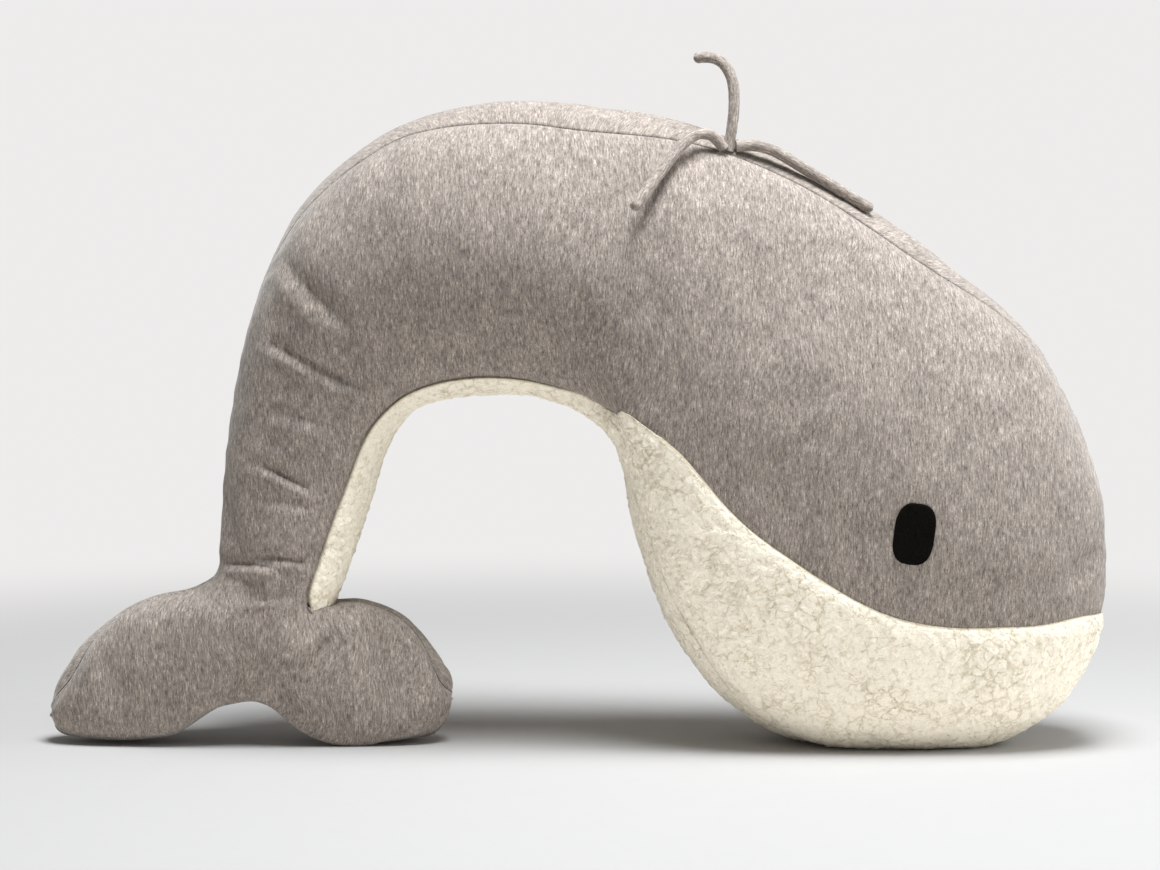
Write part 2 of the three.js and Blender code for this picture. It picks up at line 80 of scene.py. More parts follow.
# Pushes on the fabric at the fluke's tips and notch and under the nose: the place, the push and its reach
PUSHES = [
    ((-0.3595, 0.0, 0.018), (-0.0035, 0, 0), 0.022),
    ((-0.3595, 0.0, 0.018), (0.004, 0, 0), 0.006),
    ((-0.0805, 0.0, 0.029), (-0.003, 0, 0), 0.006),
    ((-0.2190, 0.0, 0.033), (0, 0, 0.0045), 0.018),
    ((0.3560, 0.0, 0.050), (-0.008, 0, 0), 0.034),
]

# Where the sherpa strip widens into the belly, in x and z, and how far round it the pile is pressed down,
# leans less, and by what share
STRIP_START = (0.041, 0.222)
START_PRESSED, START_REACH, START_LESS = 0.012, 0.011, 0.75

# Where the strip ends at the fluke, in x and z, and how far round it the pile leans more, by what share,
# and by what further share where it leans down
STRIP_END = (-0.172, 0.096)
END_REACH, END_MORE, END_MORE_DOWN = 0.02, 0.3, 1.4

# The spout cords: the place where each leaves the seam, and its route from there, both in millimetres
CORD_ROOTS = {"left": (97.2, -36.1, 405.3), "middle": (102.4, -30.6, 404.4), "right": (110.3, -30.3, 404.8)}
CORD_ROUTES = {
    "left": [
        (0, 0, 0), (-1.8, -0.7, 2.3), (-3.9, -1.5, 4.3), (-6.2, -2.6, 5.9), (-8.7, -3.9, 7),
        (-11.2, -5.3, 7.4), (-14.7, -7.4, 7.2), (-18.7, -10, 5.8), (-23, -13.1, 3), (-27.4, -16.6, -1.1),
        (-31.9, -20.5, -6.4), (-36.7, -25.1, -12.5), (-41.9, -30.3, -19.2), (-47.5, -36.2, -26.7),
        (-53.6, -42.6, -34.8), (-59.5, -48.6, -42.5),
    ],
    "middle": [
        (0, 0, 0), (0.9, 0.2, 5.2), (1.8, 0.4, 10.4), (2.6, 0.8, 15.6), (3.2, 1.3, 20.9),
        (3.6, 1.9, 26.1), (3.7, 2.6, 31.4), (3.5, 3.4, 36.6), (2.9, 4.4, 41.8), (1.6, 5.5, 46.7),
        (-0.4, 7, 51.3), (-3.3, 8.7, 55.2), (-7.1, 10.6, 58), (-11.5, 12.5, 59.5), (-17, 14.7, 59.8),
        (-22.8, 16.8, 58.9),
    ],
    "right": [
        (0, 0, 0), (6.7, 0.6, 0.4), (13.3, 1.2, -0.3), (19.7, 1.8, -2.2), (25.8, 2.4, -5),
        (31.5, 3.1, -8.3), (37.3, 3.6, -11.7), (43, 4.1, -15.1), (48.8, 4.6, -18.6), (54.5, 5, -22),
        (60.2, 5.4, -25.5), (66, 5.8, -28.9), (71.7, 6.2, -32.4), (77.5, 6.5, -35.8), (83.2, 6.9, -39.2),
        (89, 7.2, -42.6),
    ],
}

# Creases in the jersey of the arm and the fluke: x and z along each, its depth and its width, in millimetres
CREASES = [
    ([(-196, 331), (-172, 306), (-145, 284)], 4.4, 7),
    ([(-208, 278), (-182, 264), (-156, 250), (-132, 240)], 6.4, 4),
    ([(-208, 230), (-184, 225), (-158, 217)], 2.6, 5),
    ([(-222, 195), (-199, 188), (-182, 179), (-164, 173)], 5.0, 3),
    ([(-217, 171), (-190, 168), (-165, 161)], 2.6, 4),
    ([(-238, 125), (-220, 126), (-197, 124)], 6.0, 3),
    ([(-219, 131), (-191, 129), (-160, 122)], 6.0, 3),
    ([(-214, 101), (-192, 104), (-169, 109)], 2.4, 5),
    ([(-154, 86), (-174, 66), (-193, 45)], 5.0, 4),
]

# Form of a crease, in shares of its width and depth
VALLEY_WIDTH, RIDGE_AWAY, RIDGE_WIDTH, RIDGE_HEIGHT = 0.8, 1.7, 1.1, 0.55

# Where the head swells out of the back: x and z down the side, in millimetres, and its half depth, in metres
WAIST = [(20, 370), (22, 345), (24, 320), (26, 295), (28, 270), (30, 245), (33, 222)]
WAIST_HALF_DEPTH = 0.07

# How far in from a seam the fabric lies flat, where its gathers begin and end, and where the curls stand up
FLAT_BY_SEAM = 0.02
GATHERS_BEGIN, GATHERS_END = 0.004, 0.014
CURLS_BEGIN = 0.006

# Unevenness of the pieces, in layers: the height of each, the size of its lumps and its seed
STUFFED = ((1.0, 0.055, 1), (0.35, 0.02, 2))
GATHERED = ((1.0, 0.009, 3),)
CORD_RIPPLES = ((0.00022, 0.006, 4), (0.00012, 0.0025, 5))
FELT_FUZZ = ((0.00012, 0.0015, 6),)
FIBRE_LUMPS = ((0.0025, 0.03, 7), (0.001, 0.01, 8))

# How far the fibre lies inside the fabric, on the whole and above the floor
FIBRE_INSET = 0.0085
FIBRE_LOWEST = FLOOR + 0.008

# The soft lights, each with its place and its size, and the point that they face
KEY_LAMP = ((0.25, -0.45, 2.2), 0.9)
SIDE_LAMP = ((1.8, -0.35, 0.9), 0.8)
LAMP_AIM = (0, 0, 0.2)

# How far from the middle the floor starts to fade into the backdrop, and where it is gone
FADE_BEGIN, FADE_END = 0.45, 1.3


def length_setting(name, description, default):
    return FloatProperty(name=name, description=description, default=default, unit="LENGTH")


def colour_setting(name, description, default):
    return FloatVectorProperty(
        name=name, description=description, default=default, size=3, subtype="COLOR", min=0, max=1)


class WhaleStageSettings(bpy.types.PropertyGroup):
    """Camera, floor and lights."""

    camera_distance: length_setting("Camera distance", "From the middle of the pillow to the camera", 2.2)
    camera_elevation: FloatProperty(
        name="Camera elevation", description="How far the camera looks down",
        default=math.radians(4), subtype="ANGLE")
    camera_target: FloatVectorProperty(
        name="Camera target", description="Point at the middle of the picture",
        default=(0.0034, 0.0, 0.2098), subtype="TRANSLATION")
    lens: FloatProperty(
        name="Lens", description="Focal length on a 36 mm sensor, in millimetres", default=100.5)
    floor_colour: colour_setting(
        "Floor colour", "Colour in which the floor shows near the pillow", (0.38, 0.377, 0.374))
    bounce_colour: colour_setting(
        "Bounce colour", "Colour of the floor for the light that it sends back", (0.585, 0.567, 0.543))
    backdrop_colour: colour_setting(
        "Backdrop colour", "Colour in which the floor far away and the backdrop show", (0.85, 0.84, 0.835))
    floor_size: length_setting("Floor size", "Length and width of the floor", 40)
    key_power: FloatProperty(
        name="Key light", description="Power of the soft light overhead", default=98, unit="POWER")
    side_power: FloatProperty(
        name="Side light", description="Power of the soft light at the right", default=17, unit="POWER")
    sky_strength: FloatProperty(
        name="Sky", description="Strength of the even light from all round", default=0.2)
    lamp_colour: colour_setting("Lamp colour", "Colour of the two soft lights", (0.96, 0.98, 1.0))
    sky_colour: colour_setting("Sky colour", "Colour of the even light from all round", (1, 0.96, 0.91))


class WhaleFabricSettings(bpy.types.PropertyGroup):
    """Sizes of the stuffed and sewn fabric."""

    seam_depth: length_setting("Seam depth", "How far the fabric draws in at a seam", 0.0022)
    tuck_depth: length_setting("Tuck depth", "How far the jersey draws in under the pile", 0.0006)
    seam_softness: length_setting("Seam softness", "How wide the dip beside a seam is", 0.0065)
    thread_sink: length_setting("Thread sink", "How far a thread lies below the fabric beside it", 0.001)
    lump_height: length_setting("Lump height", "Unevenness of the stuffing under the fabric", 0.0013)
    pucker_height: length_setting("Pucker height", "Gathers where the fabric is eased into a seam", 0.0005)
    pressure: FloatProperty(
        name="Stuffing pressure", description="Pressure of the stuffing on the fabric", default=2.0)
    ease: FloatProperty(
        name="Ease", description="Share by which the fabric is larger than what it covers", default=0.009)
    seam_hold: length_setting("Seam hold", "How far from a seam the fabric is held by it", 0.014)
    greatest_swell: length_setting("Greatest swell", "How far the fabric may move as it settles", 0.005)
    jersey_thickness: length_setting("Jersey thickness", "Thickness of the jersey", 0.0015)
    sherpa_thickness: length_setting("Sherpa thickness", "Thickness of the sherpa with its pile", 0.0045)
    curl_size: length_setting("Curl size", "Width of one curl of the pile", 0.0045)
    curl_height: length_setting("Curl height", "How far a curl stands out", 0.0014)
    pile_lean: length_setting("Pile lean", "How far the pile leans over the jersey at a seam", 0.005)
    pile_settle: length_setting(
        "Pile settle", "How far the pile is pressed down at a seam with the jersey", 0.0022)
    start_settle: length_setting(
        "Start settle", "How far the pile is pressed down where the belly begins", 0.0042)
    pile_roll: length_setting("Pile roll", "How far in from a seam the pile starts to roll under", 0.0015)
    cord_diameter: length_setting("Cord diameter", "Thickness of a spout cord", 0.0075)
    cloth_frames: IntProperty(
        name="Settling frames", description="Frames over which the fabric settles", default=20)


class WhaleColourSettings(bpy.types.PropertyGroup):
    """Colours of the fabrics."""

    jersey: colour_setting("Jersey", "Grey of the jersey", (0.278, 0.243, 0.215))
    sherpa: colour_setting("Sherpa", "Cream of the pile", (0.97, 0.905, 0.775))
    felt: colour_setting("Felt", "Black of the eyes", (0.0045, 0.0043, 0.004))
    grey_thread: colour_setting("Grey thread", "Thread between the grey panels", (0.26, 0.24, 0.23))
    cream_thread: colour_setting("Cream thread", "Thread along the cream panels", (0.70, 0.65, 0.55))
    fibre: colour_setting("Fibre", "White of the stuffing", (0.88, 0.87, 0.84))


def deselect_all():
    bpy.ops.object.select_all(action="DESELECT")


def make_active(piece):
    deselect_all()
    piece.select_set(True)
    bpy.context.view_layer.objects.active = piece


def apply_modifier(piece, modifier):
    make_active(piece)
    bpy.ops.object.modifier_apply(modifier=modifier.name)


def read_points(mesh):
    points = np.empty(len(mesh.vertices) * 3)
    mesh.vertices.foreach_get("co", points)
    return points.reshape(-1, 3)


def write_points(mesh, points):
    mesh.vertices.foreach_set("co", np.asarray(points, float).ravel())
    mesh.update()


def write_above(mesh, points, lowest=FLOOR):
    """Writes the points, with none of them below the given height."""
    points[:, 2] = np.maximum(points[:, 2], lowest)
    write_points(mesh, points)


def read_normals(mesh):
    normals = np.empty(len(mesh.vertices) * 3)
    mesh.vertex_normals.foreach_get("vector", normals)
    return normals.reshape(-1, 3)


def copy_node(node, name):
    """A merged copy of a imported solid, as an object of its own."""
    piece = bpy.data.objects.new(name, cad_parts[node].data.copy())
    piece.data.materials.clear()
    bpy.context.collection.objects.link(piece)
    make_active(piece)
    bpy.ops.object.mode_set(mode="EDIT")
    bpy.ops.mesh.select_all(action="SELECT")
    bpy.ops.mesh.remove_doubles(threshold=1e-5)
    bpy.ops.object.mode_set(mode="OBJECT")
    bpy.ops.object.shade_smooth()
    return piece


def join_into_quads(piece):
    make_active(piece)
    bpy.ops.object.mode_set(mode="EDIT")
    bpy.ops.mesh.select_all(action="SELECT")
    bpy.ops.mesh.tris_convert_to_quads(face_threshold=math.pi, shape_threshold=math.pi)
    bpy.ops.object.mode_set(mode="OBJECT")


def keep_outer_sheet(piece, fold=math.radians(52)):
    """Leaves only the face of the fabric that shows: the smooth patch that faces away from the middle."""
    mesh = bmesh.new()
    mesh.from_mesh(piece.data)
    middle = sum((vertex.co for vertex in mesh.verts), Vector()) / len(mesh.verts)
    left = set(mesh.faces)
    patches = []
    while left:
        patch, edge_of_search = set(), [left.pop()]
        while edge_of_search:
            face = edge_of_search.pop()
            patch.add(face)
            for edge in face.edges:
                if len(edge.link_faces) != 2 or edge.calc_face_angle(math.pi) > fold:
                    continue
                for beside in edge.link_faces:
                    if beside in left:
                        left.remove(beside)
                        edge_of_search.append(beside)
        patches.append(patch)
    outer = max(patches, key=lambda patch: sum(
        face.calc_area() * face.normal.dot(face.calc_center_median() - middle) for face in patch))
    slivers = {
        face for face in mesh.faces if face not in outer
        and sum(not outer.isdisjoint(edge.link_faces) for edge in face.edges) > 1}
    outer |= slivers
    bmesh.ops.delete(mesh, geom=[face for face in mesh.faces if face not in outer], context="FACES")
    mesh.to_mesh(piece.data)
    mesh.free()


def add_subdivision(piece, levels):
    modifier = piece.modifiers.new("finer", "SUBSURF")
    modifier.levels = modifier.render_levels = levels
    return modifier


def subdivide(piece, levels):
    apply_modifier(piece, add_subdivision(piece, levels))


def subdivide_through_points(piece, levels, passes=3):
    """Smooths a coarse mesh so that the finer one still passes through the coarse points."""
    wanted = read_points(piece.data)
    modifier = add_subdivision(piece, levels)
    for _ in range(passes):
        bpy.context.view_layer.update()
        finer = piece.evaluated_get(bpy.context.evaluated_depsgraph_get()).data
        reached = read_points(finer)[: len(wanted)]
        write_points(piece.data, read_points(piece.data) + wanted - reached)
    apply_modifier(piece, modifier)


def rim_edges(piece):
    """Numbers of the two points of each edge along the open rim of a sheet."""
    mesh = bmesh.new()
    mesh.from_mesh(piece.data)
    ends = [[vertex.index for vertex in edge.verts] for edge in mesh.edges if edge.is_boundary]
    mesh.free()
    return np.array(ends)


def rim_points(piece):
    """Numbers of the points on the open rim of a sheet."""
    return np.unique(rim_edges(piece))


def tree_of(places):
    """A tree in which the nearest of the places are found by their numbers."""
    tree = KDTree(len(places))
    for number, place in enumerate(places):
        tree.insert(place, number)
    tree.balance()
    return tree


def distances_to(points, targets):
    tree = tree_of(targets)
    return np.array([tree.find(point)[2] for point in points])


def distances_across(points, place):
    """Distance of each point from a place in x and z."""
    return np.linalg.norm(points[:, [0, 2]] - np.array(place), axis=1)


def fade(distance, reach):
    """Falls off smoothly from 1 at no distance to 0 far away, with about a third left at the reach."""
    return np.exp(-((distance / reach) ** 2))


def surface_of(piece):
    corners = [vertex.co for vertex in piece.data.vertices]
    return BVHTree.FromPolygons(corners, [face.vertices for face in piece.data.polygons])


def settle_as_cloth(piece, fabric):
    """Lets the fabric settle over the stuffing, held at its seams, cut with ease and pressed outwards."""
    start = read_points(piece.data)
    group = piece.vertex_groups.new(name="seam")
    for number, distance in enumerate(distances_to(start, start[rim_points(piece)])):
        group.add([number], fade(distance, fabric.seam_hold), "REPLACE")
    modifier = piece.modifiers.new("settle", "CLOTH")
    cloth = modifier.settings
    cloth.quality = 5
    cloth.mass = 0.2
    cloth.tension_stiffness = cloth.compression_stiffness = 20
    cloth.shear_stiffness = 8
    cloth.bending_stiffness = 0.6
    cloth.vertex_group_mass = group.name
    cloth.use_pressure = True
    cloth.uniform_pressure_force = fabric.pressure
    cloth.shrink_min = cloth.shrink_max = -fabric.ease
    cloth.effector_weights.gravity = 0
    modifier.collision_settings.use_collision = False
    modifier.point_cache.frame_start = 1
    modifier.point_cache.frame_end = fabric.cloth_frames
    scene = bpy.context.scene
    for number in range(1, fabric.cloth_frames + 1):
        scene.frame_set(number)
    apply_modifier(piece, modifier)
    scene.frame_set(1)
    moved = read_points(piece.data) - start
    reach = np.linalg.norm(moved, axis=1, keepdims=True)
    capped = fabric.greatest_swell * np.tanh(reach / fabric.greatest_swell)
    write_points(piece.data, start + moved * capped / np.maximum(reach, 1e-9))
    piece.vertex_groups.clear()


def noise_at(points, size, seed):
    """Smooth noise from -1 to 1 at each point, with lumps of about the given size."""
    shift = Vector((seed * 7.31, seed * 3.17, seed * 5.71))
    return np.array([noise.noise(Vector(point) / size + shift) for point in points])


def uneven(points, layers, start=0.0):
    """Layers of noise at each point, added to a start."""
    return sum((height * noise_at(points, size, seed) for height, size, seed in layers), start)


def along_line(points, line):
    """Distance of each x and z from a line of places, signed by its side, and the share along it."""
    nearest = np.full(len(points), np.inf)
    signed = np.zeros(len(points))
    share = np.zeros(len(points))
    line = np.array(line, float) / 1000
    lengths = np.linalg.norm(np.diff(line, axis=0), axis=1)
    before = 0
    for start, end, length in zip(line[:-1], line[1:], lengths):
        run = (end - start) / length
        offset = points - start
        along = np.clip(offset @ run, 0, length)
        miss = offset - along[:, None] * run
        distance = np.linalg.norm(miss, axis=1)
        closer = distance < nearest
        nearest = np.where(closer, distance, nearest)
        side = np.sign(run[0] * offset[:, 1] - run[1] * offset[:, 0])
        signed = np.where(closer, side * distance, signed)
        share = np.where(closer, (before + along) / lengths.sum(), share)
        before += length
    return signed, share


def crease_heights(points, normals, side, steepness=2.5, bluntness=0.6):
    """Valleys with a soft ridge beside them, on the side of the pillow that faces the given way."""
    heights = np.zeros(len(points))
    facing = np.clip(side * normals[:, 1] * steepness, 0, 1)
    for line, depth, width in CREASES:
        signed, share = along_line(points[:, [0, 2]], line)
        width = width / 1000
        taper = np.sin(np.pi * np.clip(share, 0, 1)) ** bluntness
        valley = np.exp(-np.abs(signed) / (VALLEY_WIDTH * width))
        ridge = fade(signed + RIDGE_AWAY * width, RIDGE_WIDTH * width)
        heights += depth / 1000 * taper * facing * (RIDGE_HEIGHT * ridge - valley)
    return heights


def thicken(piece, thickness):
    modifier = piece.modifiers.new("wall", "SOLIDIFY")
    modifier.thickness = thickness
    modifier.offset = -1
    apply_modifier(piece, modifier)


def finish_shading(piece, angle=math.radians(70)):
    make_active(piece)
    bpy.ops.object.shade_smooth_by_angle(angle=angle)


def lay_flat(piece, side):
    """Gives a sheet a flat map in metres, whose lengths are as true as can be with the grain upright."""
    points = read_points(piece.data)
    piece.data.calc_loop_triangles()
    corners = np.array([triangle.vertices for triangle in piece.data.loop_triangles])
    first, second, third = (points[corners[:, number]] for number in range(3))
    out = np.cross(second - first, third - first)
    double_area = np.linalg.norm(out, axis=1, keepdims=True)
    out /= double_area
    edges = (third - second, first - third, second - first)
    slopes = np.stack([np.cross(out, edge) / double_area for edge in edges], axis=1)
    upward = np.zeros_like(out)
    upward[:, 1] = -side * out[:, 2]
    upward[:, 2] = 1
    upward -= np.sum(upward * out, axis=1, keepdims=True) * out
    upward /= np.linalg.norm(upward, axis=1, keepdims=True)
    wanted = np.stack([np.cross(upward, out), upward], axis=2)
    area = double_area[:, :, None] / 2
    springs = area * slopes @ slopes.transpose(0, 2, 1)
    stiffness = np.zeros((len(points), len(points)))
    pull = np.zeros((len(points), 2))
    np.add.at(stiffness, (corners[:, :, None], corners[:, None, :]), springs)
    np.add.at(pull, corners, area * slopes @ wanted)
    flat = np.linalg.lstsq(stiffness, pull, rcond=None)[0]
    layer = piece.data.uv_layers.active or piece.data.uv_layers.new(name="cut")
    for loop, corner in zip(piece.data.loops, layer.data):
        corner.uv = flat[loop.vertex_index]


def waist_places(side):
    """Points down the pillow's side where the head swells out of the back."""
    return np.array([(x / 1000, side * WAIST_HALF_DEPTH, z / 1000) for x, z in WAIST])


def folded_places(piece, fold):
    """Points along the edges inside a sheet where it folds by more than the given angle."""
    mesh = bmesh.new()
    mesh.from_mesh(piece.data)
    places = []
    for edge in mesh.edges:
        if edge.is_manifold and abs(edge.calc_face_angle()) > fold:
            start, end = (vertex.co for vertex in edge.verts)
            places.extend(start.lerp(end, share / 4) for share in range(5))
    mesh.free()
    return np.array([tuple(place) for place in places])


def relax(piece, places, reach, passes):
    """Smooths the sheet round the given places, and holds its open edge."""
    points = read_points(piece.data)
    ends = np.empty(len(piece.data.edges) * 2, int)
    piece.data.edges.foreach_get("vertices", ends)
    ends = ends.reshape(-1, 2)
    share = fade(distances_to(points, places), reach)
    share[rim_points(piece)] = 0
    count = np.bincount(ends.ravel(), minlength=len(points))[:, None]
    for _ in range(passes):
        total = np.zeros_like(points)
        np.add.at(total, ends[:, 0], points[ends[:, 1]])
        np.add.at(total, ends[:, 1], points[ends[:, 0]])
        points += share[:, None] * (total / count - points)
    write_points(piece.data, points)


def sewn_sheet(node, name, fabric, side):
    """The outer face of a panel, smooth, and settled over the stuffing."""
    piece = copy_node(node, name)
    keep_outer_sheet(piece)
    folds = folded_places(piece, fold=math.radians(40))
    join_into_quads(piece)
    lay_flat(piece, side)
    subdivide_through_points(piece, 2)
    if len(folds):
        relax(piece, folds, reach=0.012, passes=30)
    relax(piece, waist_places(side), reach=0.05, passes=90)
    settle_as_cloth(piece, fabric)
    subdivide(piece, 1)
    return piece


def outward_at_rim(piece):
    """The way that leads off a sheet, by the number of each point on its open edge."""
    mesh = bmesh.new()
    mesh.from_mesh(piece.data)
    ways = {}
    for edge in mesh.edges:
        if not edge.is_boundary:
            continue
        start, end = (vertex.co for vertex in edge.verts)
        run = (end - start).normalized()
        away = (start + end) / 2 - edge.link_faces[0].calc_center_median()
        away = (away - away.dot(run) * run).normalized()
        for vertex in edge.verts:
            ways[vertex.index] = ways.get(vertex.index, Vector()) + away
    mesh.free()
    return {number: np.array(way.normalized()) for number, way in ways.items()}


def push_in(points):
    """Rounds the tips of the fluke and the chin, and lifts the notch between the lobes."""
    for place, push, reach in PUSHES:
        distance = np.linalg.norm(points - np.array(place), axis=1, keepdims=True)
        points += fade(distance, reach) * np.array(push)


def split_rim(piece, seam, nearby=0.006):
    """Numbers of the points on a sheet's open edge that lie along a seam, and of the others."""
    rim = rim_points(piece)
    sewn = distances_to(read_points(piece.data)[rim], seam) < nearby
    return rim[sewn], rim[~sewn]


def lean_over_seam(piece, sewn, reach, falloff=0.007, neighbours=13):
    """Lets the pile along a seam lean over the fabric beyond, but not at the nose."""
    points = read_points(piece.data)
    places = points[sewn]
    ways = outward_at_rim(piece)
    ways = np.array([ways[number] for number in sewn])
    from_nose = np.linalg.norm(places - np.array(NOSE_CORNER), axis=1, keepdims=True)
    ways *= 1 - fade(from_nose, NOSE_REACH)
    at_start = fade(distances_across(places, STRIP_START), START_REACH)
    at_end = fade(distances_across(places, STRIP_END), END_REACH)
    down = np.clip(-ways[:, 2], 0, 1)
    more = 1 + at_end * (END_MORE + END_MORE_DOWN * down)
    ways *= (more * (1 - START_LESS * at_start))[:, None]
    tree = tree_of(places)
    for point in points:
        found = tree.find_n(Vector(point), neighbours)
        way = ways[[number for _, number, _ in found]].mean(axis=0)
        point += fade(found[0][2], falloff) * reach * way
    write_points(piece.data, points)


def along_rim(piece, steps):
    """Places close together along the open rim of a sheet, and the outward direction at each."""
    starts, ends = rim_edges(piece).T
    share = np.arange(steps)[:, None, None] / steps
    return tuple(
        ((1 - share) * values[starts] + share * values[ends]).reshape(-1, 3)
        for values in (read_points(piece.data), read_normals(piece.data)))


def sewn_edges(panels):
    """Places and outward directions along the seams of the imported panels."""
    places, ways = [], []
    for node in panels:
        sheet = copy_node(node, "edge")
        keep_outer_sheet(sheet)
        more_places, more_ways = along_rim(sheet, 16)
        places.append(more_places)
        ways.append(more_ways)
        bpy.data.objects.remove(sheet)
    return np.concatenate(places), np.concatenate(ways)


def shape_fabric(piece, fabric, side, grooves, lumpiness, creased):
    """Draws the fabric in at its seams and adds the lumps, puckers and creases."""
    points = read_points(piece.data)
    normals = read_normals(piece.data)
    from_seam = distances_to(points, points[rim_points(piece)])
    inside = 1 - fade(from_seam, FLAT_BY_SEAM)
    beside = fade(from_seam, GATHERS_END) * (1 - fade(from_seam, GATHERS_BEGIN))
    heights = np.zeros(len(points))
    for seam, depth in grooves:
        across = distances_to(points, points[seam])
        heights = np.minimum(heights, -depth * fade(across, fabric.seam_softness))
    heights += inside * lumpiness * fabric.lump_height * uneven(points, STUFFED)
    heights += beside * fabric.pucker_height * uneven(points, GATHERED)
    if creased:
        heights += inside * crease_heights(points, normals, side)
    points += heights[:, None] * normals
    push_in(points)
    write_above(piece.data, points)


def bend_with_tail(piece):
    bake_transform(piece)


class NodeBoard:
    """A material's nodes, added and joined in turn."""

    def __init__(self, name):
        self.material = bpy.data.materials.new(name)
        self.material.use_nodes = True
        self.tree = self.material.node_tree
        self.shader = self.tree.nodes["Principled BSDF"]

    def add(self, kind, **inputs):
        node = self.tree.nodes.new(kind)
        for name, value in inputs.items():
            self.set(node, name, value)
        return node

    def set(self, node, name, value):
        self.put(node.inputs[name], value)

    def put(self, socket, value):
        if isinstance(value, bpy.types.NodeSocket):
            self.tree.links.new(value, socket)
        else:
            socket.default_value = value

    def grain(self, scale, detail=2.0, roughness=0.5, source="Object", distortion=0.0):
        where = self.add("ShaderNodeTexCoord").outputs[source]
        spread = self.add("ShaderNodeMapping", Vector=where, Scale=scale).outputs["Vector"]
        return self.add(
            "ShaderNodeTexNoise", Vector=spread, Scale=1.0, Detail=detail, Roughness=roughness,
            Distortion=distortion).outputs["Fac"]

    def partings(self, cells, wander):
        """Distance from a wandering network of lines, in shares of one of its cells."""
        where = self.add("ShaderNodeTexCoord").outputs["Object"]
        drift = self.add("ShaderNodeTexNoise", Vector=where, Scale=1.5 * cells, Detail=2.0).outputs["Color"]
        moved = self.add("ShaderNodeVectorMath")
        moved.operation = "MULTIPLY_ADD"
        for socket, value in zip(moved.inputs, (drift, (wander, wander, wander), where)):
            self.put(socket, value)
        network = self.add("ShaderNodeTexVoronoi")
        network.feature = "DISTANCE_TO_EDGE"
        self.set(network, "Vector", moved.outputs[0])
        self.set(network, "Scale", cells)
        return network.outputs["Distance"]

    def ramp(self, value, stops):
        node = self.add("ShaderNodeValToRGB", Fac=value)
        elements = node.color_ramp.elements
        while len(elements) < len(stops):
            elements.new(0.5)
        for element, (place, colour) in zip(elements, stops):
            element.position = place
            element.color = (*colour, 1)
        return node.outputs["Color"]

    def mix(self, share, first, second, blend="MIX"):
        node = self.add("ShaderNodeMix")
        node.data_type = "RGBA"
        node.blend_type = blend
        factor, low, high = (node.inputs[number] for number in (0, 6, 7))
        for socket, value in ((factor, share), (low, first), (high, second)):
            self.put(socket, value)
        return node.outputs[2]

    def bump(self, height, distance, strength=1.0, normal=None):
        node = self.add("ShaderNodeBump", Height=height, Distance=distance, Strength=strength)
        if normal is not None:
            self.set(node, "Normal", normal)
        return node.outputs["Normal"]

    def finish(self, inputs):
        """Sets inputs of the shader by their names, and gives the material."""
        for name, value in inputs.items():
            self.set(self.shader, name, value)
        return self.material


def tinted(colour, factor):
    return tuple(min(1.0, channel * factor) for channel in colour)


def jersey_material(colour):
    """Grey melange jersey: fine upright streaks of darker and lighter yarn, with a soft nap."""
    board = NodeBoard("jersey_melange")
    streaks = board.grain((1000, 200, 1), 3.0, 0.7, source="UV")
    flecks = board.grain((330, 80, 1), 2.0, 0.5, source="UV")
    clouds = board.grain((55, 22, 1), 2.0, 0.5, source="UV")
    knit = board.grain((1500, 700, 1), 2.0, 0.6, source="UV")
    yarn = board.ramp(streaks, [
        (0.28, tinted(colour, 0.3)), (0.46, tinted(colour, 0.9)), (0.58, tinted(colour, 1.17)),
        (0.74, tinted(colour, 2.15))])
    melange = yarn
    for grain, low, high in ((flecks, 0.76, 1.22), (clouds, 0.9, 1.09), (knit, 0.74, 1.24)):
        tone = board.ramp(grain, [(0.3, (low, low, low)), (0.7, (high, high, high))])
        melange = board.mix(1.0, melange, tone, "MULTIPLY")
    nap = board.bump(knit, 0.0003, 0.3, board.bump(streaks, 0.0004, 0.35))
    return board.finish({
        "Base Color": melange, "Normal": nap, "Roughness": 0.95, "Specular IOR Level": 0.15,
        "Sheen Weight": 0.25, "Sheen Roughness": 0.5})


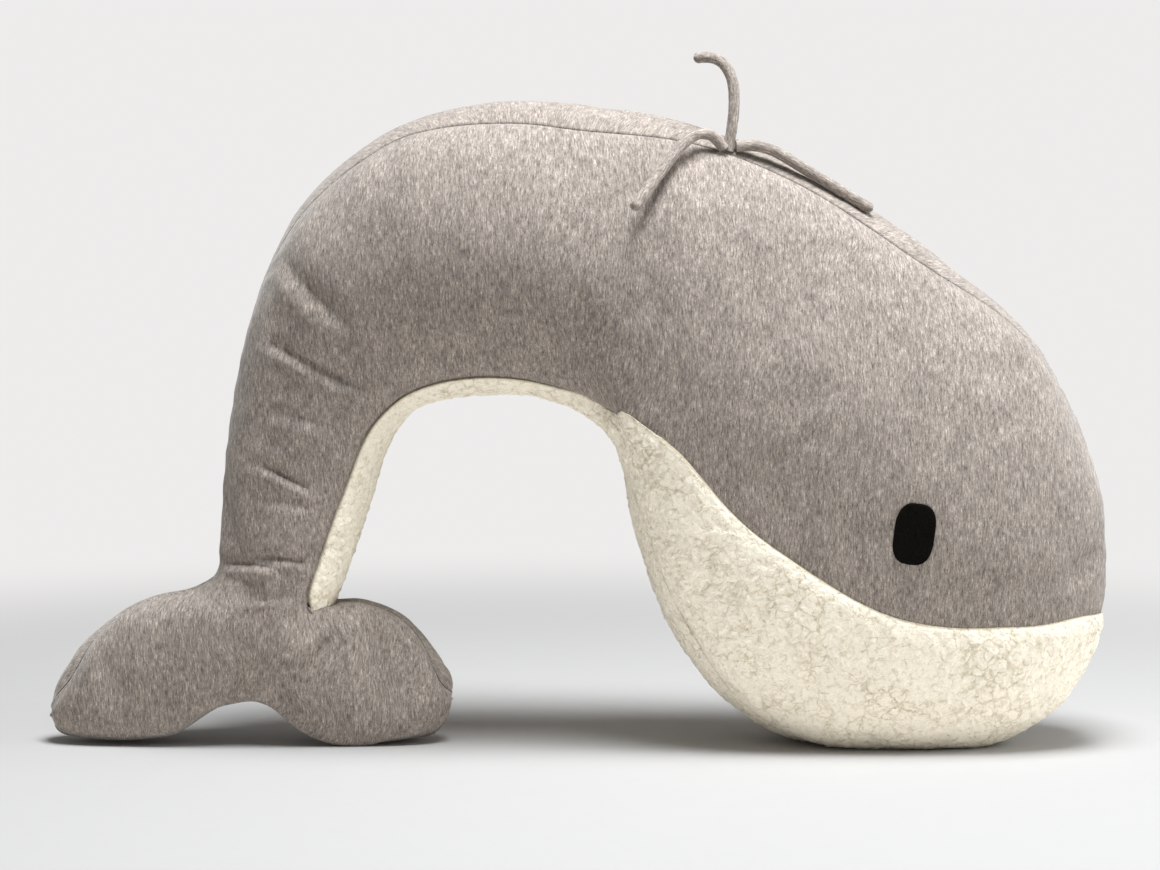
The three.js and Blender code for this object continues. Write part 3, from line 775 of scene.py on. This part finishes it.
def sherpa_material(colour):
    """Cream pile in small curls, with painted shade between them, in thin partings here and there and at the
    seam's edge.
    """
    board = NodeBoard("sherpa_pile")
    curls = board.grain((260, 260, 260), 3.0, 0.6, distortion=0.8)
    hairs = board.grain((900, 900, 900), 2.0, 0.6)
    tufts = board.grain((75, 75, 75), 2.0, 0.55, distortion=1.4)
    patches = board.grain((24, 24, 24), 2.0)
    # Painted shade in the hollows between the curls
    painted_hollow_shade = tuple(channel * share for channel, share in zip(colour, (0.76, 0.73, 0.66)))
    shade = board.ramp(curls, [(0.31, painted_hollow_shade), (0.46, colour), (0.66, tinted(colour, 1.05))])
    # Painted shade in thin partings of the pile; the same lines also give a bump
    line = board.ramp(board.partings(85, 0.013), [(0.0, (0.75, 0.72, 0.655)), (0.1, (1, 1, 1))])
    some = board.ramp(patches, [(0.41, (0, 0, 0)), (0.6, (1, 1, 1))])
    parted = board.mix(some, (1, 1, 1, 1), line)
    specks = board.ramp(hairs, [(0.3, (0.91, 0.91, 0.90)), (0.7, (1.05, 1.05, 1.05))])
    pile = board.mix(1.0, board.mix(1.0, shade, parted, "MULTIPLY"), specks, "MULTIPLY")
    # Painted shade: the pile is darkened towards the seam's edge and over the rim wall, as the attribute from
    # curl_pile says
    painted_seam_shade = board.add("ShaderNodeAttribute")
    painted_seam_shade.attribute_name = "painted_seam_shade"
    seam_shaded_pile = board.mix(painted_seam_shade.outputs["Fac"], pile, (0.46, 0.43, 0.37, 1), "MULTIPLY")
    nap = None
    for height, distance, strength in (
            (parted, 0.002, 0.5), (tufts, 0.002, 0.6), (curls, 0.0015, 1.0), (hairs, 0.0005, 0.5)):
        nap = board.bump(height, distance, strength, nap)
    return board.finish({
        "Base Color": seam_shaded_pile, "Normal": nap, "Roughness": 1.0, "Specular IOR Level": 0.1,
        "Sheen Weight": 0.3, "Sheen Roughness": 0.6})


def felt_material(colour):
    """Dead black felt, slightly hairy."""
    board = NodeBoard("eye_felt")
    hairs = board.grain((900, 900, 900), 3.0, 0.7)
    shade = board.ramp(hairs, [(0.3, tinted(colour, 0.6)), (0.7, tinted(colour, 1.8))])
    return board.finish({
        "Base Color": shade, "Normal": board.bump(hairs, 0.0004, 0.5), "Roughness": 1.0,
        "Specular IOR Level": 0.01})


def thread_material(name, colour):
    """Matt sewing thread with a fine twist."""
    board = NodeBoard(name)
    twist = board.grain((1600, 1600, 1600), 1.0)
    shade = board.ramp(twist, [(0.35, tinted(colour, 0.75)), (0.65, tinted(colour, 1.15))])
    return board.finish({
        "Base Color": shade, "Normal": board.bump(twist, 0.0002, 0.5), "Roughness": 0.85})


def fibre_material(colour):
    """White polyester fibre, packed in lumps."""
    board = NodeBoard("stuffing_fibre")
    strands = board.grain((160, 160, 500), 4.0, 0.7)
    shade = board.ramp(strands, [(0.3, tinted(colour, 0.85)), (0.7, tinted(colour, 1.05))])
    return board.finish({
        "Base Color": shade, "Normal": board.bump(strands, 0.002, 0.6), "Roughness": 1.0})


def material_named(name, make, *values):
    return bpy.data.materials.get(name) or make(*values)


def dress(piece, material, slot, *nodes):
    piece.data.materials.clear()
    piece.data.materials.append(material)
    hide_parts(*nodes)


def seen_directly(tree):
    """A socket that is 1 for what the camera sees, straight or in a mirror or glass, and 0 for light."""
    path = tree.nodes.new("ShaderNodeLightPath")
    seen = path.outputs["Is Camera Ray"]
    for kind in ("Is Glossy Ray", "Is Transmission Ray"):
        either = tree.nodes.new("ShaderNodeMath")
        either.operation = "MAXIMUM"
        tree.links.new(seen, either.inputs[0])
        tree.links.new(path.outputs[kind], either.inputs[1])
        seen = either.outputs[0]
    return seen


def mix_shaders(tree, share, first, second):
    node = tree.nodes.new("ShaderNodeMixShader")
    for socket, value in zip(node.inputs, (share, first, second)):
        tree.links.new(value, socket)
    return node.outputs[0]


class WHALE_OT_stage(bpy.types.Operator):
    """Add the camera, the pale floor and backdrop, and the soft lights"""

    bl_idname = "whale.stage"
    bl_label = "Stage"

    def execute(self, context):
        stage = context.scene.whale_stage
        self.add_camera(context, stage)
        self.add_floor(context, stage)
        self.add_lamps(context, stage)
        self.add_world(context, stage)
        context.scene.view_settings.view_transform = "Standard"
        return {"FINISHED"}

    def add_camera(self, context, stage):
        lean = stage.camera_elevation
        back = Vector((0, -math.cos(lean), math.sin(lean))) * stage.camera_distance
        bpy.ops.object.camera_add(
            location=Vector(stage.camera_target) + back, rotation=(math.pi / 2 - lean, 0, 0))
        camera = context.object
        camera.data.lens = stage.lens
        camera.data.sensor_width = 36
        context.scene.camera = camera

    def add_floor(self, context, stage):
        deselect_all()
        bpy.ops.mesh.primitive_plane_add(size=stage.floor_size)
        floor = context.object
        floor.name = "floor"
        floor.data.transform(Matrix.Translation((0, 0, FLOOR)))
        floor.data.materials.append(self.paper(stage))

    def paper(self, stage):
        """Pale paper that takes the shadow near the pillow and fades into the backdrop further off."""
        board = NodeBoard("floor_paper")
        seen = seen_directly(board.tree)
        colour = board.mix(seen, (*stage.bounce_colour, 1), (*stage.floor_colour, 1))
        grain = board.ramp(board.grain((40, 40, 40), 3.0), [(0.3, (0.99, 0.99, 0.99)), (0.7, (1, 1, 1))])
        board.finish({"Base Color": board.mix(1.0, colour, grain, "MULTIPLY"), "Roughness": 0.9})
        away = board.add("ShaderNodeVectorMath", Vector=board.add("ShaderNodeTexCoord").outputs["Object"])
        away.operation = "LENGTH"
        further = board.add("ShaderNodeMapRange", Value=away.outputs["Value"])
        further.interpolation_type = "SMOOTHERSTEP"
        board.set(further, "From Min", FADE_BEGIN)
        board.set(further, "From Max", FADE_END)
        share = board.add("ShaderNodeMath")
        share.operation = "MULTIPLY"
        board.put(share.inputs[0], seen)
        board.put(share.inputs[1], further.outputs["Result"])
        glow = board.add("ShaderNodeEmission", Color=(*stage.backdrop_colour, 1))
        mixed = mix_shaders(board.tree, share.outputs[0], board.shader.outputs[0], glow.outputs[0])
        board.set(board.tree.nodes["Material Output"], "Surface", mixed)
        return board.material

    def add_lamps(self, context, stage):
        for (place, size), power in ((KEY_LAMP, stage.key_power), (SIDE_LAMP, stage.side_power)):
            turn = (Vector(LAMP_AIM) - Vector(place)).to_track_quat("-Z", "Y").to_euler()
            bpy.ops.object.light_add(type="AREA", location=place, rotation=turn)
            context.object.data.energy = power
            context.object.data.color = stage.lamp_colour
            context.object.data.size = size

    def add_world(self, context, stage):
        """Even light from all round, in front of a pale backdrop."""
        world = bpy.data.worlds.new("studio")
        world.use_nodes = True
        context.scene.world = world
        tree = world.node_tree
        sky = tree.nodes["Background"]
        sky.inputs["Color"].default_value = (*stage.sky_colour, 1)
        sky.inputs["Strength"].default_value = stage.sky_strength
        backdrop = tree.nodes.new("ShaderNodeBackground")
        backdrop.inputs["Color"].default_value = (*stage.backdrop_colour, 1)
        mixed = mix_shaders(tree, seen_directly(tree), sky.outputs[0], backdrop.outputs[0])
        tree.links.new(mixed, tree.nodes["World Output"].inputs["Surface"])


def smooth_route(route, steps=10):
    """Points along a smooth curve through the points of a cord's route, in metres."""
    points = [Vector(point) / 1000 for point in route]
    ends = [2 * points[0] - points[1], *points, 2 * points[-1] - points[-2]]
    path = []
    for before, start, end, after in zip(ends, ends[1:], ends[2:], ends[3:]):
        for step in range(steps):
            t = step / steps
            path.append(0.5 * (
                2 * start + (end - before) * t + (2 * before - 5 * start + 4 * end - after) * t * t
                + (3 * start - before - 3 * end + after) * t ** 3))
    path.append(points[-1])
    return path


class WHALE_OT_spout_cords(bpy.types.Operator):
    """Make the three jersey cords of the spout"""

    bl_idname = "whale.spout_cords"
    bl_label = "Spout cords"

    def execute(self, context):
        fabric = context.scene.whale_fabric
        colour = tuple(context.scene.whale_colours.jersey)
        material = material_named("jersey_melange", jersey_material, colour)
        for side, route in CORD_ROUTES.items():
            root = Vector(CORD_ROOTS[side]) / 1000
            path = [root + point for point in smooth_route(route)]
            cord = self.tube(context, f"spout_{side}", path, fabric.cord_diameter)
            dress(cord, material, "jersey_grey", f"spout_cord_{side}")
            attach(cord, f"{side}_cord")
        return {"FINISHED"}

    def tube(self, context, name, path, diameter, sunk=0.003, rounded=0.45, blunt=0.12):
        """A tube along a path, sunk in the seam at its root and rounded at its tip."""
        deselect_all()
        data = bpy.data.curves.new(name, "CURVE")
        data.dimensions = "3D"
        data.bevel_depth = diameter / 2
        data.bevel_resolution = 6
        data.use_fill_caps = True
        spline = data.splines.new("POLY")
        line = [path[0] - (path[1] - path[0]).normalized() * sunk, *path]
        spline.points.add(len(line) - 1)
        to_tip = 0.0
        for number in range(len(line) - 1, -1, -1):
            if number < len(line) - 1:
                to_tip += (line[number + 1] - line[number]).length
            share = min(to_tip / (diameter * rounded), 1)
            spline.points[number].co = (*line[number], 1)
            spline.points[number].radius = max(math.sqrt(1 - (1 - share) ** 2), blunt)
        cord = bpy.data.objects.new(name, data)
        context.collection.objects.link(cord)
        make_active(cord)
        bpy.ops.object.convert(target="MESH")
        cord = context.object
        self.wrap_map(cord, line, diameter / 2)
        points = read_points(cord.data)
        ripples = uneven(points, CORD_RIPPLES)
        write_points(cord.data, points + ripples[:, None] * read_normals(cord.data))
        bpy.ops.object.shade_smooth()
        return cord

    def wrap_map(self, cord, line, radius):
        """Maps a cord by the distance round it and along it, in metres."""
        tree = tree_of(line)
        steps = [(end - start).length for start, end in zip(line, line[1:])]
        along = np.concatenate([[0], np.cumsum(steps)])
        layer = cord.data.uv_layers.active or cord.data.uv_layers.new(name="wrap")
        for loop, corner in zip(cord.data.loops, layer.data):
            point = cord.data.vertices[loop.vertex_index].co
            centre, number, _ = tree.find(point)
            ahead = line[min(number + 1, len(line) - 1)] - line[max(number - 1, 0)]
            across = ahead.cross(Vector((0, 1, 0))).normalized()
            up = across.cross(ahead).normalized()
            turn = math.atan2((point - centre).dot(up), (point - centre).dot(across))
            corner.uv = (radius * turn, along[number])


class WHALE_OT_jersey_sides(bpy.types.Operator):
    """Make the two jersey sides, from the nose to the fluke"""

    bl_idname = "whale.jersey_sides"
    bl_label = "Jersey sides"

    def execute(self, context):
        fabric = context.scene.whale_fabric
        colour = tuple(context.scene.whale_colours.jersey)
        material = material_named("jersey_melange", jersey_material, colour)
        seams = sewn_edges(["front_belly_panel", "back_belly_panel"])[0]
        for name, side in (("front", -1), ("back", 1)):
            panel = sewn_sheet(f"{name}_side_panel", f"{name}_jersey", fabric, side)
            belly, top = split_rim(panel, seams)
            grooves = [(top, fabric.seam_depth), (belly, fabric.tuck_depth)]
            shape_fabric(panel, fabric, side, grooves, lumpiness=1.0, creased=True)
            thicken(panel, fabric.jersey_thickness)
            finish_shading(panel)
            dress(panel, material, "jersey_grey", f"{name}_side_panel")
            bend_with_tail(panel)
        return {"FINISHED"}


class WHALE_OT_sherpa_belly(bpy.types.Operator):
    """Make the two sherpa panels of the belly, with their curled pile"""

    bl_idname = "whale.sherpa_belly"
    bl_label = "Sherpa belly"

    def execute(self, context):
        fabric = context.scene.whale_fabric
        colour = tuple(context.scene.whale_colours.sherpa)
        material = material_named("sherpa_pile", sherpa_material, colour)
        seams = sewn_edges(["front_side_panel", "back_side_panel"])[0]
        for name, side in (("front", -1), ("back", 1)):
            panel = sewn_sheet(f"{name}_belly_panel", f"{name}_sherpa", fabric, side)
            sewn, keel = split_rim(panel, seams)
            lean_over_seam(panel, sewn, fabric.pile_lean)
            from_start = distances_across(read_points(panel.data)[sewn], STRIP_START)
            start = sewn[from_start < START_PRESSED]
            grooves = [
                (keel, fabric.seam_depth), (sewn, fabric.pile_settle), (start, fabric.start_settle)]
            shape_fabric(panel, fabric, side, grooves, lumpiness=0.7, creased=False)
            faces = len(panel.data.polygons)
            edge = self.seam_edge(panel, sewn)
            thicken(panel, fabric.sherpa_thickness)
            self.curl_pile(panel, fabric, faces, edge)
            finish_shading(panel)
            dress(panel, material, "sherpa_cream", f"{name}_belly_panel")
            bend_with_tail(panel)
        return {"FINISHED"}

    def seam_edge(self, panel, sewn, nearby=0.003):
        """Places close together along the part of the open rim that is sewn to the jersey."""
        places = along_rim(panel, steps=6)[0]
        return places[distances_to(places, read_points(panel.data)[sewn]) < nearby]

    def curl_pile(self, panel, fabric, faces, edge):
        """Raises curls on the first faces of the panel, rolls the pile under along the seam's edge, and marks
        painted shade there.
        """
        make_active(panel)
        bpy.ops.object.mode_set(mode="EDIT")
        bpy.ops.mesh.select_mode(type="FACE")
        bpy.ops.mesh.select_all(action="DESELECT")
        mesh = bmesh.from_edit_mesh(panel.data)
        mesh.faces.ensure_lookup_table()
        for face in mesh.faces[:faces]:
            face.select_set(True)
        bmesh.update_edit_mesh(panel.data)
        bpy.ops.mesh.subdivide(number_cuts=1)
        bpy.ops.object.mode_set(mode="OBJECT")
        outer = [vertex.index for vertex in panel.data.vertices if vertex.select]
        group = panel.vertex_groups.new(name="pile")
        from_edge = distances_to(read_points(panel.data)[outer], edge)
        for number, distance in zip(outer, from_edge):
            group.add([number], 1 - fade(distance, CURLS_BEGIN), "REPLACE")
        curls = bpy.data.textures.new("curls", "VORONOI")
        curls.noise_scale = fabric.curl_size
        tangle = bpy.data.textures.new("tangle", "CLOUDS")
        tangle.noise_scale = fabric.curl_size * 0.8
        tangle.noise_depth = 2
        for texture, strength in ((tangle, fabric.curl_height), (curls, -fabric.curl_height)):
            modifier = panel.modifiers.new("curl", "DISPLACE")
            modifier.texture = texture
            modifier.texture_coords = "LOCAL"
            modifier.strength = strength
            modifier.mid_level = 0.5
            modifier.vertex_group = group.name
            apply_modifier(panel, modifier)
        panel.vertex_groups.clear()
        points = read_points(panel.data)
        turn = np.clip(1 - from_edge / fabric.pile_roll, 0, 1)
        drop = fabric.pile_roll * (1 - np.sqrt(1 - turn ** 2))
        points[outer] -= drop[:, None] * read_normals(panel.data)[outer]
        write_above(panel.data, points)
        # Painted shade at the seam, for the material: full on the rim wall and inner sheet, falling off from
        # the seam's edge outside
        shaded = np.ones(len(points))
        shaded[outer] = fade(from_edge, fabric.pile_roll)
        panel.data.attributes.new("painted_seam_shade", "FLOAT", "POINT").data.foreach_set("value", shaded)


class WHALE_OT_seam_threads(bpy.types.Operator):
    """Make the threads that lie in the seams"""

    bl_idname = "whale.seam_threads"
    bl_label = "Seam threads"

    def execute(self, context):
        fabric = context.scene.whale_fabric
        colours = context.scene.whale_colours
        places, ways = sewn_edges(["front_side_panel", "back_side_panel"])
        belly_places, belly_ways = sewn_edges(["front_belly_panel", "back_belly_panel"])
        threads = {
            "top_seam": ("thread_grey", colours.grey_thread, places, ways),
            "keel_seam": ("thread_cream", colours.cream_thread, belly_places, belly_ways),
            "front_belly_seam": ("thread_cream", colours.cream_thread, places, ways),
            "back_belly_seam": ("thread_cream", colours.cream_thread, places, ways),
        }
        for name, (slot, colour, near, out) in threads.items():
            thread = copy_node(f"{name}_thread", name)
            self.draw_in(thread, fabric.seam_depth + fabric.thread_sink, near, out)
            subdivide(thread, 1)
            material = material_named(f"{slot}_sewn", thread_material, f"{slot}_sewn", tuple(colour))
            dress(thread, material, slot, f"{name}_thread")
            bend_with_tail(thread)
        return {"FINISHED"}

    def draw_in(self, thread, depth, near, out, neighbours=4):
        """Sinks a thread between the fabrics, against the outward directions of the places near it."""
        tree = tree_of(near)
        points = read_points(thread.data)
        for point in points:
            found = [number for _, number, _ in tree.find_n(point, neighbours)]
            way = out[found].mean(axis=0)
            point -= depth * way / max(np.linalg.norm(way), 1e-6)
        push_in(points)
        write_above(thread.data, points)


class WHALE_OT_felt_eyes(bpy.types.Operator):
    """Make the felt eyes, laid on the jersey"""

    bl_idname = "whale.felt_eyes"
    bl_label = "Felt eyes"

    def execute(self, context):
        material = material_named("eye_felt", felt_material, tuple(context.scene.whale_colours.felt))
        for name, side in (("front", -1), ("back", 1)):
            eye = copy_node(f"{name}_eye_patch", f"{name}_eye")
            join_into_quads(eye)
            self.trim(eye, share=0.96)
            self.lay_on(eye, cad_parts[f"{name}_side_panel"], bpy.data.objects[f"{name}_jersey"], side)
            subdivide_through_points(eye, 2)
            points = read_points(eye.data)
            fuzz = uneven(points, FELT_FUZZ)
            write_points(eye.data, points + fuzz[:, None] * read_normals(eye.data))
            finish_shading(eye)
            dress(eye, material, "felt_black", f"{name}_eye_patch")
            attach(eye, "whale")
        return {"FINISHED"}

    def trim(self, eye, share):
        """Draws the outline in a little, for the felt that is turned under."""
        points = read_points(eye.data)
        centre = points.mean(axis=0) * (1, 0, 1)
        write_points(eye.data, centre + (points - centre) * (share, 1, share))

    def lay_on(self, eye, packed, jersey, side):
        """Moves the felt by as much as the jersey under it has moved."""
        was, now = surface_of(packed), surface_of(jersey)
        points = read_points(eye.data)
        inward = Vector((0, -side, 0))
        for point in points:
            start = Vector((point[0], side * 0.5, point[2]))
            before, after = was.ray_cast(start, inward)[0], now.ray_cast(start, inward)[0]
            if before is None or after is None:
                raise RuntimeError("the felt eye has no jersey under it")
            point[1] += after.y - before.y
        write_points(eye.data, points)


class WHALE_OT_stuffing(bpy.types.Operator):
    """Make the fibre stuffing inside the panels"""

    bl_idname = "whale.stuffing"
    bl_label = "Stuffing"

    def execute(self, context):
        material = material_named("stuffing_fibre", fibre_material, tuple(context.scene.whale_colours.fibre))
        rides = {
            "fill_head": "whale", "fill_back": "whale", "fill_shoulder": None, "fill_tail": None,
            "fill_fluke_left": "tail", "fill_fluke_right": "tail",
        }
        for node, body in rides.items():
            fill = copy_node(node, node.replace("fill", "fibre"))
            join_into_quads(fill)
            subdivide(fill, 2)
            points = read_points(fill.data)
            inset = uneven(points, FIBRE_LUMPS, FIBRE_INSET)
            points -= inset[:, None] * read_normals(fill.data)
            write_above(fill.data, points, FIBRE_LOWEST)
            finish_shading(fill)
            dress(fill, material, "fibre_white", node)
            if body:
                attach(fill, body)
            else:
                bend_with_tail(fill)
        return {"FINISHED"}


OPERATORS = (
    WHALE_OT_stage, WHALE_OT_spout_cords, WHALE_OT_jersey_sides, WHALE_OT_sherpa_belly,
    WHALE_OT_seam_threads, WHALE_OT_felt_eyes, WHALE_OT_stuffing,
)


class WHALE_PT_panel(bpy.types.Panel):
    """The pieces of the pillow and their settings"""

    bl_idname = "WHALE_PT_panel"
    bl_label = "Whale nursing pillow"
    bl_space_type = "VIEW_3D"
    bl_region_type = "UI"
    bl_category = "Whale"

    def draw(self, context):
        for operator in OPERATORS:
            self.layout.operator(operator.bl_idname)
        for group in (context.scene.whale_stage, context.scene.whale_fabric, context.scene.whale_colours):
            box = self.layout.box()
            for name in group.bl_rna.properties.keys():
                if name not in ("rna_type", "name"):
                    box.prop(group, name)


SETTINGS = {
    "whale_stage": WhaleStageSettings,
    "whale_fabric": WhaleFabricSettings,
    "whale_colours": WhaleColourSettings,
}
CLASSES = (*SETTINGS.values(), *OPERATORS, WHALE_PT_panel)


def register():
    for cls in CLASSES:
        bpy.utils.register_class(cls)
    for name, group in SETTINGS.items():
        setattr(bpy.types.Scene, name, PointerProperty(type=group))


def unregister():
    for name in SETTINGS:
        delattr(bpy.types.Scene, name)
    for cls in reversed(CLASSES):
        bpy.utils.unregister_class(cls)


def main():
    register()
    bpy.ops.whale.stage()
    bpy.ops.whale.spout_cords()
    bpy.ops.whale.jersey_sides()
    bpy.ops.whale.sherpa_belly()
    bpy.ops.whale.seam_threads()
    bpy.ops.whale.felt_eyes()
    bpy.ops.whale.stuffing()


if __name__ == "__main__":
    main()
